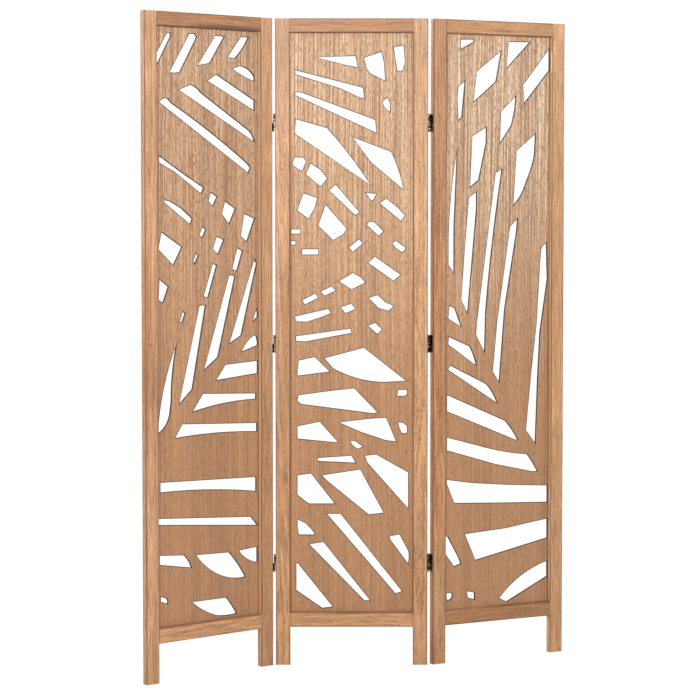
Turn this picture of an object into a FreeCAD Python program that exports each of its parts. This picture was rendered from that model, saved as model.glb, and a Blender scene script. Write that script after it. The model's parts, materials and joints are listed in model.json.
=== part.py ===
import FreeCAD, Part
import os
import Sketcher

# A folding screen of three leaves: each leaf is a frame of two stiles and two rails round a thin
# wood sheet pierced with palm-leaf cut-outs, and six two-way hinges join the leaves edge to edge.
#
# Frame of the whole: +Z up, +X to the right and +Y away from someone who looks at the front.
# The origin is on the floor, in the middle of the box that the opened screen fills.

Vector = FreeCAD.Vector
Placement = FreeCAD.Placement
Rotation = FreeCAD.Rotation

UP = Vector(0, 0, 1)
ACROSS = Vector(0, 1, 0)
QUARTER_TURN = 90
HALF_TURN = 180

# Driving sizes in millimetres, and the two angles at which the screen stands in degrees
SIZES = {
    # The leaves
    "panel_width": 400.0,
    "panel_height": 1700.0,
    "frame_thick": 18.0,
    "stile_width": 38.0,
    "top_rail_height": 36.0,
    "bottom_rail_height": 38.0,
    "foot_height": 101.0,
    "edge_round": 1.0,
    # The pierced sheet and the groove that holds it
    "infill_thick": 4.0,
    "infill_setback": 11.0,
    "groove_depth": 8.0,
    "groove_play": 0.15,
    "infill_growth_gap": 1.0,
    # The dowels between rails and stiles
    "dowel_radius": 4.0,
    "dowel_length": 36.0,
    "dowel_play": 0.05,
    "dowel_end_gap": 0.3,
    "dowel_first_inset": 15.0,
    "dowel_spacing": 14.0,
    # The hinges
    "hinge_gap": 7.0,
    "hinge_height": 45.0,
    "hinge_end_distance": 271.0,
    "pin_offset": 0.8,
    "pin_radius": 1.0,
    "pin_play": 0.05,
    "pin_head_radius": 1.6,
    "pin_head_height": 0.8,
    "pin_end_play": 0.1,
    "barrel_radius": 1.9,
    "knuckle_height": 22.0,
    "knuckle_play": 0.4,
    "flap_thick": 1.0,
    "flap_width": 14.0,
    "neck_front": 1.0,
    "neck_back": 1.2,
    "link_thick": 1.6,
    # The hinge screws
    "screw_inset": 8.0,
    "screw_spacing": 26.0,
    "screw_radius": 1.5,
    "screw_head_radius": 2.7,
    "screw_length": 14.0,
    "screw_tip": 3.0,
    "screw_play": 0.05,
    "recess_width": 0.7,
    "recess_length": 3.2,
    "recess_depth": 0.8,
    # How the screen stands
    "left_fold_degrees": 39.0,
    "right_fold_degrees": 26.5,
}

HINGE_ROWS = {
    "bottom": "sizes.hinge_end_distance",
    "centre": "sizes.panel_height / 2",
    "top": "sizes.panel_height - sizes.hinge_end_distance",
}

# The cut-outs. Each outline goes clockwise, seen from the front. A point is (across, up), as
# shares of the width and height of the opening inside the frame, from its lower left corner.
# A third number bows the edge that leaves the point outwards, or inwards where it is negative,
# by that share of the edge's length.
LEFT_LEAF_SHARES = [
    [(0.02, 0.955), (0.12, 0.989), (0.15, 0.989), (0.15, 0.983), (0.02, 0.935)],
    [(0.33, 0.989), (0.38, 0.990), (0.40, 0.985), (0.24, 0.926), (0.20, 0.924), (0.14, 0.924)],
    [(0.58, 0.989), (0.665, 0.988), (0.525, 0.943), (0.41, 0.938)],
    [(0.83, 0.989), (0.90, 0.989, 0.05), (0.77, 0.953), (0.70, 0.954)],
    [(0.75, 0.935), (0.82, 0.940, 0.12), (0.96, 0.923), (0.96, 0.916, 0.04)],
    [(0.59, 0.924), (0.96, 0.883), (0.96, 0.866), (0.505, 0.913)],
    [(0.23, 0.896), (0.34, 0.905, 0.08), (0.44, 0.892), (0.91, 0.831, 0.08), (0.96, 0.813)],
    [(0.04, 0.875), (0.09, 0.881), (0.12, 0.881), (0.16, 0.873, 0.015), (0.88, 0.777), (0.92, 0.769),
     (0.90, 0.760)],
    [(0.04, 0.786), (0.25, 0.759), (0.46, 0.734), (0.44, 0.724), (0.18, 0.761), (0.04, 0.775)],
    [(0.09, 0.713), (0.14, 0.711), (0.25, 0.699), (0.35, 0.682), (0.33, 0.673), (0.09, 0.709)],
    [(0.53, 0.726), (0.59, 0.719), (0.55, 0.703), (0.51, 0.711)],
    [(0.67, 0.711), (0.77, 0.699), (0.71, 0.673), (0.64, 0.690)],
    [(0.86, 0.690), (0.96, 0.682), (0.885, 0.643), (0.825, 0.652)],
    [(0.45, 0.668), (0.48, 0.664), (0.45, 0.651), (0.42, 0.654)],
    [(0.59, 0.652), (0.655, 0.646), (0.60, 0.622), (0.55, 0.631)],
    [(0.79, 0.632), (0.84, 0.627), (0.785, 0.593), (0.74, 0.597)],
    [(0.06, 0.660), (0.25, 0.635), (0.17, 0.605), (0.03, 0.632)],
    [(0.39, 0.623), (0.41, 0.621), (0.37, 0.606), (0.36, 0.611)],
    [(0.55, 0.606), (0.585, 0.603), (0.50, 0.549), (0.46, 0.552)],
    [(0.71, 0.586), (0.765, 0.584), (0.595, 0.448), (0.46, 0.427)],
    [(0.96, 0.612), (0.98, 0.605), (0.825, 0.483), (0.71, 0.470)],
    [(0.04, 0.582), (0.12, 0.569), (0.07, 0.543), (0.03, 0.548)],
    [(0.26, 0.527), (0.28, 0.524), (0.25, 0.509), (0.23, 0.510)],
    [(0.98, 0.527), (0.988, 0.522), (0.988, 0.514), (0.945, 0.506), (0.955, 0.515)],
    [(0.42, 0.536), (0.475, 0.536), (0.385, 0.439), (0.345, 0.396), (0.22, 0.372)],
    [(0.955, 0.482), (0.975, 0.481), (0.988, 0.472), (0.988, 0.465), (0.83, 0.455, 0.08)],
    [(0.20, 0.474, -0.03), (0.145, 0.378), (0.13, 0.355, 0.10), (0.025, 0.326),
     (0.025, 0.342, 0.04)],
    [(0.67, 0.434), (0.988, 0.438), (0.988, 0.417), (0.58, 0.409)],
    [(0.45, 0.387), (0.97, 0.382), (0.97, 0.373, -0.03), (0.35, 0.358)],
    [(0.25, 0.338), (0.98, 0.331), (0.98, 0.317, -0.02), (0.18, 0.316)],
    [(0.04, 0.243), (0.97, 0.238), (0.97, 0.214, -0.02), (0.04, 0.227)],
    [(0.02, 0.183), (0.92, 0.170), (0.98, 0.155), (0.02, 0.173)],
    [(0.03, 0.121), (0.26, 0.117, 0.08), (0.33, 0.095), (0.03, 0.106)],
    [(0.38, 0.115), (0.70, 0.113, 0.03), (0.86, 0.068, 0.05), (0.67, 0.072, 0.08)],
    [(0.80, 0.114), (0.98, 0.117), (0.98, 0.091, 0.10)],
    [(0.04, 0.052), (0.09, 0.048, 0.20), (0.10, 0.039), (0.04, 0.044)],
    [(0.34, 0.036), (0.67, 0.036, 0.03), (0.77, 0.007, 0.04), (0.58, 0.008, 0.05)],
]
MIDDLE_LEAF_SHARES = [
    [(0.21, 0.958), (0.53, 0.960), (0.55, 0.941), (0.45, 0.945)],
    [(0.60, 0.957), (0.74, 0.967), (0.76, 0.950), (0.77, 0.918), (0.65, 0.931),
     (0.625, 0.938)],
    [(0.84, 0.975), (0.92, 0.978), (0.93, 0.950), (0.91, 0.935), (0.87, 0.935)],
    [(0.04, 0.936), (0.59, 0.906), (0.60, 0.889), (0.57, 0.889), (0.41, 0.905), (0.05, 0.929)],
    [(0.05, 0.898), (0.09, 0.898), (0.69, 0.851), (0.70, 0.829), (0.04, 0.894)],
    [(0.79, 0.889), (0.81, 0.880), (0.81, 0.865, 0.12), (0.75, 0.882)],
    [(0.05, 0.852), (0.30, 0.837, 0.02), (0.65, 0.740), (0.04, 0.828)],
    [(0.51, 0.821), (0.82, 0.796, 0.03), (0.92, 0.732), (0.66, 0.778)],
    [(0.04, 0.787), (0.11, 0.786), (0.13, 0.780), (0.10, 0.764, 0.06), (0.02, 0.775)],
    [(0.17, 0.776), (0.25, 0.765), (0.30, 0.751), (0.25, 0.737), (0.13, 0.758)],
    [(0.37, 0.740), (0.56, 0.693), (0.53, 0.688), (0.32, 0.730)],
    [(0.11, 0.725), (0.22, 0.717), (0.20, 0.700), (0.15, 0.682), (0.06, 0.696)],
    [(0.29, 0.705), (0.46, 0.664), (0.43, 0.655), (0.35, 0.645), (0.23, 0.670)],
    [(0.615, 0.726), (0.70, 0.724), (0.67, 0.713), (0.65, 0.715)],
    [(0.78, 0.716), (0.87, 0.701), (0.93, 0.687), (0.90, 0.678), (0.73, 0.708)],
    [(0.64, 0.676), (0.68, 0.676), (0.755, 0.660), (0.72, 0.652), (0.625, 0.671)],
    [(0.56, 0.646), (0.59, 0.639), (0.51, 0.625), (0.48, 0.632)],
    [(0.86, 0.643), (0.94, 0.631), (0.91, 0.624), (0.86, 0.631), (0.83, 0.640)],
    [(0.012, 0.663), (0.085, 0.663), (0.085, 0.656), (0.012, 0.656)],
    [(0.012, 0.643), (0.045, 0.643), (0.045, 0.637), (0.012, 0.637)],
    [(0.10, 0.629), (0.23, 0.629), (0.23, 0.620), (0.10, 0.620)],
    [(0.69, 0.616), (0.895, 0.585), (0.84, 0.575), (0.635, 0.606)],
    [(0.51, 0.588), (0.57, 0.581), (0.61, 0.572), (0.50, 0.560), (0.40, 0.574)],
    [(0.34, 0.565), (0.37, 0.558), (0.28, 0.549), (0.25, 0.556)],
    [(0.21, 0.553), (0.225, 0.545), (0.12, 0.534), (0.10, 0.541)],
    [(0.71, 0.550), (0.77, 0.538), (0.84, 0.531), (0.80, 0.523), (0.72, 0.528), (0.64, 0.545)],
    [(0.50, 0.535), (0.53, 0.526), (0.45, 0.519), (0.41, 0.529)],
    [(0.04, 0.513), (0.31, 0.526), (0.33, 0.519, 0.02), (0.13, 0.504), (0.05, 0.505)],
    [(0.635, 0.497), (0.69, 0.502), (0.745, 0.491), (0.71, 0.483)],
    [(0.05, 0.479), (0.49, 0.492), (0.50, 0.485), (0.12, 0.470), (0.05, 0.471)],
    [(0.07, 0.437), (0.20, 0.443), (0.32, 0.418), (0.06, 0.411)],
    [(0.28, 0.441), (0.60, 0.459), (0.94, 0.402), (0.75, 0.400, 0.06), (0.35, 0.424)],
    [(0.07, 0.377), (0.35, 0.385), (0.52, 0.389), (0.71, 0.347), (0.67, 0.346), (0.09, 0.362),
     (0.06, 0.367)],
    [(0.88, 0.386), (0.95, 0.386), (0.95, 0.379), (0.93, 0.376), (0.87, 0.376)],
    [(0.88, 0.330), (0.92, 0.329), (0.95, 0.323), (0.95, 0.312), (0.91, 0.311), (0.89, 0.320)],
    [(0.40, 0.330), (0.64, 0.336), (0.78, 0.338), (0.86, 0.297), (0.78, 0.299), (0.57, 0.314)],
    [(0.06, 0.323), (0.24, 0.331), (0.39, 0.295), (0.20, 0.299), (0.06, 0.302)],
    [(0.49, 0.297), (0.50, 0.298), (0.53, 0.297), (0.59, 0.288), (0.55, 0.284), (0.51, 0.290)],
    [(0.22, 0.268), (0.50, 0.272), (0.53, 0.260), (0.23, 0.263)],
    [(0.61, 0.272), (0.70, 0.274), (0.96, 0.243), (0.96, 0.181), (0.63, 0.260)],
    [(0.06, 0.238), (0.17, 0.241), (0.36, 0.189), (0.15, 0.189), (0.06, 0.204)],
    [(0.26, 0.238), (0.57, 0.248), (0.76, 0.173), (0.64, 0.170), (0.30, 0.229)],
    [(0.30, 0.171), (0.41, 0.171), (0.91, 0.036), (0.86, 0.032)],
    [(0.06, 0.161), (0.12, 0.155, 0.05), (0.20, 0.135), (0.07, 0.135), (0.06, 0.149)],
    [(0.81, 0.132), (0.89, 0.135), (0.96, 0.107, 0.06), (0.96, 0.085), (0.82, 0.125)],
    [(0.155, 0.118), (0.27, 0.122), (0.65, 0.020), (0.605, 0.020)],
    [(0.05, 0.085), (0.06, 0.085), (0.345, 0.009), (0.26, 0.007), (0.05, 0.038)],
]
RIGHT_LEAF_SHARES = [
    [(0.15, 0.990), (0.27, 0.991), (0.27, 0.987), (0.15, 0.974)],
    [(0.60, 0.989), (0.80, 0.990), (0.58, 0.943)],
    [(0.53, 0.973), (0.48, 0.920), (0.27, 0.883), (0.30, 0.936)],
    [(0.988, 0.979), (0.988, 0.942), (0.75, 0.883), (0.74, 0.915)],
    [(0.19, 0.919), (0.16, 0.857), (0.13, 0.851), (0.12, 0.889), (0.13, 0.909)],
    [(0.67, 0.895), (0.66, 0.872), (0.63, 0.845), (0.52, 0.812), (0.53, 0.868)],
    [(0.39, 0.840), (0.39, 0.814), (0.32, 0.749), (0.24, 0.736), (0.26, 0.824)],
    [(0.86, 0.830), (0.85, 0.792, 0.03), (0.77, 0.745, 0.07), (0.65, 0.705), (0.68, 0.800)],
    [(0.12, 0.804), (0.09, 0.668), (0.09, 0.587), (0.04, 0.602), (0.04, 0.649, 0.02)],
    [(0.30, 0.728), (0.30, 0.699), (0.22, 0.518), (0.16, 0.540), (0.19, 0.624), (0.23, 0.718)],
    [(0.54, 0.767, -0.01), (0.39, 0.520), (0.38, 0.449), (0.30, 0.479), (0.31, 0.503),
     (0.48, 0.761)],
    [(0.69, 0.681), (0.68, 0.657), (0.57, 0.523), (0.52, 0.395), (0.46, 0.414), (0.50, 0.500),
     (0.62, 0.667)],
    [(0.97, 0.638), (0.98, 0.575), (0.91, 0.480), (0.89, 0.400), (0.87, 0.284),
     (0.78, 0.308), (0.83, 0.411), (0.88, 0.498), (0.91, 0.602),
     (0.92, 0.627, 0.08)],
    [(0.05, 0.531), (0.10, 0.526), (0.16, 0.494), (0.04, 0.509)],
    [(0.045, 0.477), (0.24, 0.459, 0.05), (0.30, 0.426), (0.04, 0.464)],
    [(0.06, 0.427), (0.40, 0.392, 0.05), (0.50, 0.359), (0.04, 0.420)],
    [(0.03, 0.376), (0.58, 0.326, 0.03), (0.70, 0.292), (0.68, 0.292), (0.03, 0.348)],
    [(0.03, 0.302), (0.32, 0.285, -0.025), (0.79, 0.265, 0.03), (0.89, 0.234), (0.85, 0.234),
     (0.49, 0.251), (0.03, 0.280)],
    [(0.03, 0.228), (0.26, 0.220), (0.59, 0.213), (0.988, 0.207), (0.988, 0.178), (0.55, 0.182),
     (0.10, 0.187), (0.03, 0.221)],
    [(0.20, 0.131), (0.58, 0.136), (0.988, 0.148), (0.988, 0.114), (0.30, 0.084)],
    [(0.02, 0.130), (0.04, 0.128), (0.11, 0.102, 0.03), (0.16, 0.080), (0.10, 0.076),
     (0.02, 0.098)],
    [(0.988, 0.072), (0.988, 0.045), (0.60, 0.006), (0.53, 0.013, 0.03), (0.67, 0.040, 0.03),
     (0.81, 0.058, 0.03)],
    [(0.03, 0.030), (0.08, 0.029), (0.08, 0.022), (0.06, 0.018), (0.03, 0.018)],
    [(0.22, 0.030), (0.29, 0.027), (0.29, 0.015), (0.23, 0.019)],
]

doc = FreeCAD.newDocument("folding_screen")
sheet = doc.addObject("Spreadsheet::Sheet", "sizes")
for row, (alias, amount) in enumerate(SIZES.items(), start=1):
    sheet.set(f"A{row}", alias.replace("_", " "))
    sheet.set(f"B{row}", str(amount))
    sheet.setAlias(f"B{row}", alias)
doc.recompute()


def value(formula):
    """What a formula on the sheet's cells comes to."""
    return float(sheet.evalExpression(formula))


def bind(thing, **formulas):
    """Ties each named property of an object to a formula on the sheet's cells."""
    for name, formula in formulas.items():
        thing.setExpression(name, formula)


def put_at(thing, across, back, up):
    """Ties an object's place to three formulas."""
    thing.setExpression("Placement.Base.x", across)
    thing.setExpression("Placement.Base.y", back)
    thing.setExpression("Placement.Base.z", up)


def box(name, low_corner, length, width, height):
    """A block from its low corner, every number a formula."""
    block = doc.addObject("Part::Box", name)
    bind(block, Length=length, Width=width, Height=height)
    put_at(block, *low_corner)
    return block


def cylinder(name, foot, radius, height, turn=None):
    """A round bar that stands on its foot, or lies along X where turn is given."""
    bar = doc.addObject("Part::Cylinder", name)
    bind(bar, Radius=radius, Height=height)
    if turn:
        bar.Placement = Placement(Vector(), turn)
    put_at(bar, *foot)
    return bar


def cone(name, foot, foot_radius, top_radius, height, turn):
    """A cone frustum with the given radii at its foot and its top."""
    taper = doc.addObject("Part::Cone", name)
    bind(taper, Radius1=foot_radius, Radius2=top_radius, Height=height)
    taper.Placement = Placement(Vector(), turn)
    put_at(taper, *foot)
    return taper


def fused(name, pieces):
    """One solid out of several that overlap."""
    union = doc.addObject("Part::MultiFuse", name)
    union.Shapes = pieces
    return union


def cut(name, base, tool):
    """The base less the tool."""
    difference = doc.addObject("Part::Cut", name)
    difference.Base = base
    difference.Tool = tool
    return difference


def grouped(name, pieces):
    """Separate solids that share one node."""
    group = doc.addObject("Part::Compound", name)
    group.Links = pieces
    return group


def new_sketch(body, name, plane_role, offset=None):
    """A sketch on one of the body's own origin planes, moved along its normal by a formula."""
    plane = next(item for item in body.Origin.OriginFeatures if item.Role == plane_role)
    sketch = body.newObject("Sketcher::SketchObject", name)
    sketch.AttachmentSupport = [(plane, "")]
    sketch.MapMode = "FlatFace"
    if offset:
        sketch.setExpression("AttachmentOffset.Base.z", offset)
    return sketch


def hold_point(sketch, geometry, point, along, up):
    """Ties a point of a sketch to its distances from the sketch's origin."""
    for direction, formula in (("DistanceX", along), ("DistanceY", up)):
        index = sketch.addConstraint(
            Sketcher.Constraint(direction, -1, 1, geometry, point, value(formula)))
        sketch.setExpression(f"Constraints[{index}]", formula)


def draw_rectangle(sketch, low, high):
    """A rectangle between two corners that are given as pairs of formulas."""
    low_along, low_up = value(low[0]), value(low[1])
    high_along, high_up = value(high[0]), value(high[1])
    corners = [Vector(low_along, low_up, 0), Vector(high_along, low_up, 0),
               Vector(high_along, high_up, 0), Vector(low_along, high_up, 0)]
    lines = []
    for start, end in zip(corners, corners[1:] + corners[:1]):
        lines.append(sketch.addGeometry(Part.LineSegment(start, end)))
    for line, following in zip(lines, lines[1:] + lines[:1]):
        sketch.addConstraint(Sketcher.Constraint("Coincident", line, 2, following, 1))
    for line, direction in zip(lines, ("Horizontal", "Vertical", "Horizontal", "Vertical")):
        sketch.addConstraint(Sketcher.Constraint(direction, line))
    hold_point(sketch, lines[0], 1, *low)
    hold_point(sketch, lines[2], 1, *high)


def draw_circle(sketch, centre, radius):
    """A circle whose centre and radius are formulas."""
    middle = Vector(value(centre[0]), value(centre[1]), 0)
    ring = sketch.addGeometry(Part.Circle(middle, UP, value(radius)))
    index = sketch.addConstraint(Sketcher.Constraint("Radius", ring, value(radius)))
    sketch.setExpression(f"Constraints[{index}]", radius)
    hold_point(sketch, ring, 3, *centre)


def add_pad(body, name, sketch, length, reverse=False):
    """Thickens a sketch into the body's first solid."""
    pad = body.newObject("PartDesign::Pad", name)
    pad.Profile = sketch
    pad.Reversed = reverse
    pad.setExpression("Length", length)
    sketch.Visibility = False
    return pad


def add_pocket(body, name, sketch, depth, reverse=False):
    """Sinks a sketch into the body, and makes sure that it took wood away."""
    doc.recompute()
    before = body.Shape.Volume
    pocket = body.newObject("PartDesign::Pocket", name)
    pocket.Profile = sketch
    pocket.Reversed = reverse
    pocket.setExpression("Length", depth)
    sketch.Visibility = False
    doc.recompute()
    if body.Shape.Volume >= before:
        raise RuntimeError(f"{name} cuts nothing")
    return pocket


def round_long_edges(body, base, long_axis, length):
    """Eases the full-length arrises of a board."""
    doc.recompute()
    names = []
    for index, edge in enumerate(base.Shape.Edges, start=1):
        span = edge.BoundBox
        reach = {"X": span.XLength, "Z": span.ZLength}[long_axis]
        if reach > value(length) - value("sizes.edge_round") and on_corner(base.Shape, edge, long_axis):
            names.append(f"Edge{index}")
    fillet = body.newObject("PartDesign::Fillet", f"{body.Label}_arrises")
    fillet.Base = (base, names)
    fillet.setExpression("Radius", "sizes.edge_round")
    return fillet


def on_corner(shape, edge, long_axis):
    """Whether an edge lies on a corner of the board's section, not on a groove's lip."""
    board = shape.BoundBox
    middle = edge.CenterOfMass
    near = []
    if long_axis == "X":
        near.append(min(abs(middle.z - board.ZMin), abs(middle.z - board.ZMax)))
    else:
        near.append(min(abs(middle.x - board.XMin), abs(middle.x - board.XMax)))
    near.append(min(abs(middle.y - board.YMin), abs(middle.y - board.YMax)))
    return max(near) < value("sizes.edge_round")


FRONT_OF_GROOVE = "sizes.infill_setback - sizes.groove_play"
BACK_OF_GROOVE = "sizes.infill_setback + sizes.infill_thick + sizes.groove_play"
MID_THICK = "sizes.frame_thick / 2"
OPENING_WIDTH = "(sizes.panel_width - 2 * sizes.stile_width)"
OPENING_FLOOR = "(sizes.foot_height + sizes.bottom_rail_height)"
OPENING_TOP = "(sizes.panel_height - sizes.top_rail_height)"
HALF_DOWEL_HOLE = "sizes.dowel_length / 2 + sizes.dowel_end_gap"
DOWEL_HOLE_RADIUS = "sizes.dowel_radius + sizes.dowel_play"
DOWEL_INSETS = ("sizes.dowel_first_inset", "sizes.dowel_first_inset + sizes.dowel_spacing")


def dowel_heights():
    """The heights of the four dowels on one side of a leaf."""
    below = [f"{OPENING_FLOOR} - ({inset})" for inset in DOWEL_INSETS]
    above = [f"{OPENING_TOP} + ({inset})" for inset in DOWEL_INSETS]
    return below + above


def screw_heights():
    """The heights of the six hinge screws on one edge of a leaf."""
    heights = []
    for row in HINGE_ROWS.values():
        heights.append(f"{row} - sizes.screw_spacing / 2")
        heights.append(f"{row} + sizes.screw_spacing / 2")
    return heights


def make_stile(label, place, side, screw_back=None):
    """An upright. Its inner edge is on the YZ plane and its wood lies to the given side.

    It runs from the floor to the top, carries the groove for the sheet and the dowel holes in
    its inner edge, and pilot holes for the hinge screws in its outer edge where it is hinged.
    """
    body = doc.addObject("PartDesign::Body", label)
    body.Label = label
    outward = side > 0
    outer_edge = f"{side} * sizes.stile_width"

    section = new_sketch(body, f"{label}_section", "XY_Plane")
    draw_rectangle(section, ("0", "0"), (outer_edge, "sizes.frame_thick"))
    add_pad(body, f"{label}_board", section, "sizes.panel_height")

    groove = new_sketch(body, f"{label}_groove_outline", "YZ_Plane")
    draw_rectangle(groove,
                   (FRONT_OF_GROOVE, f"{OPENING_FLOOR} - sizes.groove_depth"),
                   (BACK_OF_GROOVE, f"{OPENING_TOP} + sizes.groove_depth"))
    add_pocket(body, f"{label}_groove", groove, "sizes.groove_depth", outward)

    holes = new_sketch(body, f"{label}_dowel_circles", "YZ_Plane")
    for height in dowel_heights():
        draw_circle(holes, (MID_THICK, height), DOWEL_HOLE_RADIUS)
    last = add_pocket(body, f"{label}_dowel_holes", holes, HALF_DOWEL_HOLE, outward)

    if screw_back:
        pilots = new_sketch(body, f"{label}_screw_circles", "YZ_Plane", outer_edge)
        for height in screw_heights():
            draw_circle(pilots, (screw_back, height), "sizes.screw_radius + sizes.screw_play")
        last = add_pocket(body, f"{label}_screw_holes", pilots,
                          "sizes.screw_length + sizes.screw_play", not outward)

    round_long_edges(body, last, "Z", "sizes.panel_height")
    body.Placement = place
    return body


def make_rail(label, place, side, rail_height):
    """A cross-piece. Its inner edge is on the XY plane and its wood lies above or below it.

    The groove for the sheet runs along the inner edge, and each end has two dowel holes.
    """
    body = doc.addObject("PartDesign::Body", label)
    body.Label = label
    upward = side > 0

    section = new_sketch(body, f"{label}_section", "YZ_Plane")
    draw_rectangle(section, ("0", "0"), ("sizes.frame_thick", f"{side} * {rail_height}"))
    add_pad(body, f"{label}_board", section, OPENING_WIDTH)

    groove = new_sketch(body, f"{label}_groove_outline", "XY_Plane")
    draw_rectangle(groove, ("0", FRONT_OF_GROOVE), (OPENING_WIDTH, BACK_OF_GROOVE))
    last = add_pocket(body, f"{label}_groove", groove, "sizes.groove_depth", upward)

    for end, offset, inward in (("left", "0", True), ("right", OPENING_WIDTH, False)):
        holes = new_sketch(body, f"{label}_{end}_dowel_circles", "YZ_Plane", offset)
        for inset in DOWEL_INSETS:
            draw_circle(holes, (MID_THICK, f"{side} * ({inset})"), DOWEL_HOLE_RADIUS)
        last = add_pocket(body, f"{label}_{end}_dowel_holes", holes, HALF_DOWEL_HOLE, inward)

    round_long_edges(body, last, "X", OPENING_WIDTH)
    body.Placement = place
    return body


def make_dowels(label, place):
    """Eight round pins that hold the rails of one leaf to its stiles."""
    along_x = Rotation(ACROSS, QUARTER_TURN)
    pins = []
    for edge, joint in (("left", "sizes.stile_width"),
                        ("right", "sizes.panel_width - sizes.stile_width")):
        for number, height in enumerate(dowel_heights(), start=1):
            foot = (f"{joint} - sizes.dowel_length / 2", MID_THICK, height)
            pins.append(cylinder(f"{label}_{edge}_{number}", foot,
                                 "sizes.dowel_radius", "sizes.dowel_length", along_x))
    group = grouped(label, pins)
    group.Placement = place
    return group


def leaf_outline(points):
    """A closed wire through the shares of one cut-out, on the leaf's front plane."""
    width = value(OPENING_WIDTH)
    height = value(f"{OPENING_TOP} - {OPENING_FLOOR}")
    left = value("sizes.stile_width")
    floor = value(OPENING_FLOOR)
    corners = [Vector(left + point[0] * width, 0, floor + point[1] * height) for point in points]
    edges = []
    for point, corner, following in zip(points, corners, corners[1:] + corners[:1]):
        bow = point[2] if len(point) > 2 else 0
        if bow:
            along = following - corner
            outward = Vector(-along.z, 0, along.x)
            crown = (corner + following) / 2 + outward * bow
            edges.append(Part.Arc(corner, crown, following).toShape())
        else:
            edges.append(Part.LineSegment(corner, following).toShape())
    return Part.Wire(edges)


def make_infill(label, place, leaf_shares):
    """The thin wood sheet of one leaf, pierced with its cut-outs.

    It stands on the floor of the bottom rail's groove and stops short of the other three, so
    that the wood can grow.
    """
    reach = "(sizes.groove_depth - sizes.infill_growth_gap)"
    blank = box(f"{label}_blank",
                (f"sizes.stile_width - {reach}", "sizes.infill_setback",
                 f"{OPENING_FLOOR} - sizes.groove_depth"),
                f"{OPENING_WIDTH} + 2 * {reach}",
                "sizes.infill_thick",
                f"{OPENING_TOP} - {OPENING_FLOOR} + sizes.groove_depth + {reach}")
    through = Vector(0, value("sizes.frame_thick"), 0)
    prisms = [Part.Face(leaf_outline(points)).extrude(through) for points in leaf_shares]
    cutters = doc.addObject("Part::Feature", f"{label}_cut_outs")
    cutters.Shape = Part.makeCompound(prisms)
    sheet_of_wood = cut(label, blank, cutters)
    sheet_of_wood.Placement = place
    return sheet_of_wood


# The hinges are drawn for the right edge of the middle leaf, with the gap's middle on the YZ
# plane, the front face of the frame on the XZ plane and the hinge's mid-height on the XY plane.
# The front pin joins the middle leaf's flap to the link, and the back pin joins the link to the
# outer leaf's flap, so each leaf folds both ways. The flaps go round the pins in the lower half
# of the hinge, the link in the upper half.
FRONT_PIN_BACK = "-sizes.pin_offset"
BACK_PIN_BACK = "sizes.frame_thick + sizes.pin_offset"
HALF_HEIGHT = "sizes.hinge_height / 2"
HALF_GAP = "sizes.hinge_gap / 2"
BORE_RADIUS = "sizes.pin_radius + sizes.pin_play"


def make_flap(label, place):
    """A flap screwed to a stile's edge, with a knuckle that goes round the front pin."""
    solids = [
        box(f"{label}_plate", (f"-{HALF_GAP}", "0", f"-{HALF_HEIGHT}"),
            "sizes.flap_thick", "sizes.flap_width", "sizes.hinge_height"),
        box(f"{label}_neck",
            (f"-{HALF_GAP}", f"{FRONT_PIN_BACK} - sizes.neck_front", f"-{HALF_HEIGHT}"),
            HALF_GAP, "sizes.neck_front + sizes.pin_offset + sizes.neck_back",
            "sizes.knuckle_height"),
        cylinder(f"{label}_knuckle", ("0", FRONT_PIN_BACK, f"-{HALF_HEIGHT}"),
                 "sizes.barrel_radius", "sizes.knuckle_height"),
    ]
    along_x = Rotation(ACROSS, QUARTER_TURN)
    holes = [cylinder(f"{label}_bore", ("0", FRONT_PIN_BACK, f"-{HALF_HEIGHT}"),
                      BORE_RADIUS, "sizes.hinge_height")]
    for number, sign in (("1", "-"), ("2", "")):
        holes.append(cone(f"{label}_screw_hole_{number}",
                          (f"-{HALF_GAP}", "sizes.screw_inset", f"{sign}sizes.screw_spacing / 2"),
                          "sizes.screw_radius + sizes.screw_play",
                          "sizes.screw_head_radius + sizes.screw_play",
                          "sizes.flap_thick", along_x))
    flap = cut(label, fused(f"{label}_solid", solids), fused(f"{label}_holes", holes))
    flap.Placement = place
    return flap


def make_link(label, place):
    """The plate between the two pins, with one knuckle on each of them."""
    knuckle_foot = f"-{HALF_HEIGHT} + sizes.knuckle_height + sizes.knuckle_play"
    knuckle_reach = "(sizes.hinge_height - sizes.knuckle_height - sizes.knuckle_play)"
    solids = [
        box(f"{label}_plate", ("-sizes.link_thick / 2", FRONT_PIN_BACK, knuckle_foot),
            "sizes.link_thick", f"{BACK_PIN_BACK} - ({FRONT_PIN_BACK})", knuckle_reach),
    ]
    holes = []
    for end, back in (("front", FRONT_PIN_BACK), ("back", BACK_PIN_BACK)):
        solids.append(cylinder(f"{label}_{end}_knuckle", ("0", back, knuckle_foot),
                               "sizes.barrel_radius", knuckle_reach))
        holes.append(cylinder(f"{label}_{end}_bore", ("0", back, f"-{HALF_HEIGHT}"),
                              BORE_RADIUS, "sizes.hinge_height"))
    link = cut(label, fused(f"{label}_solid", solids), fused(f"{label}_holes", holes))
    link.Placement = place
    return link


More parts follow.
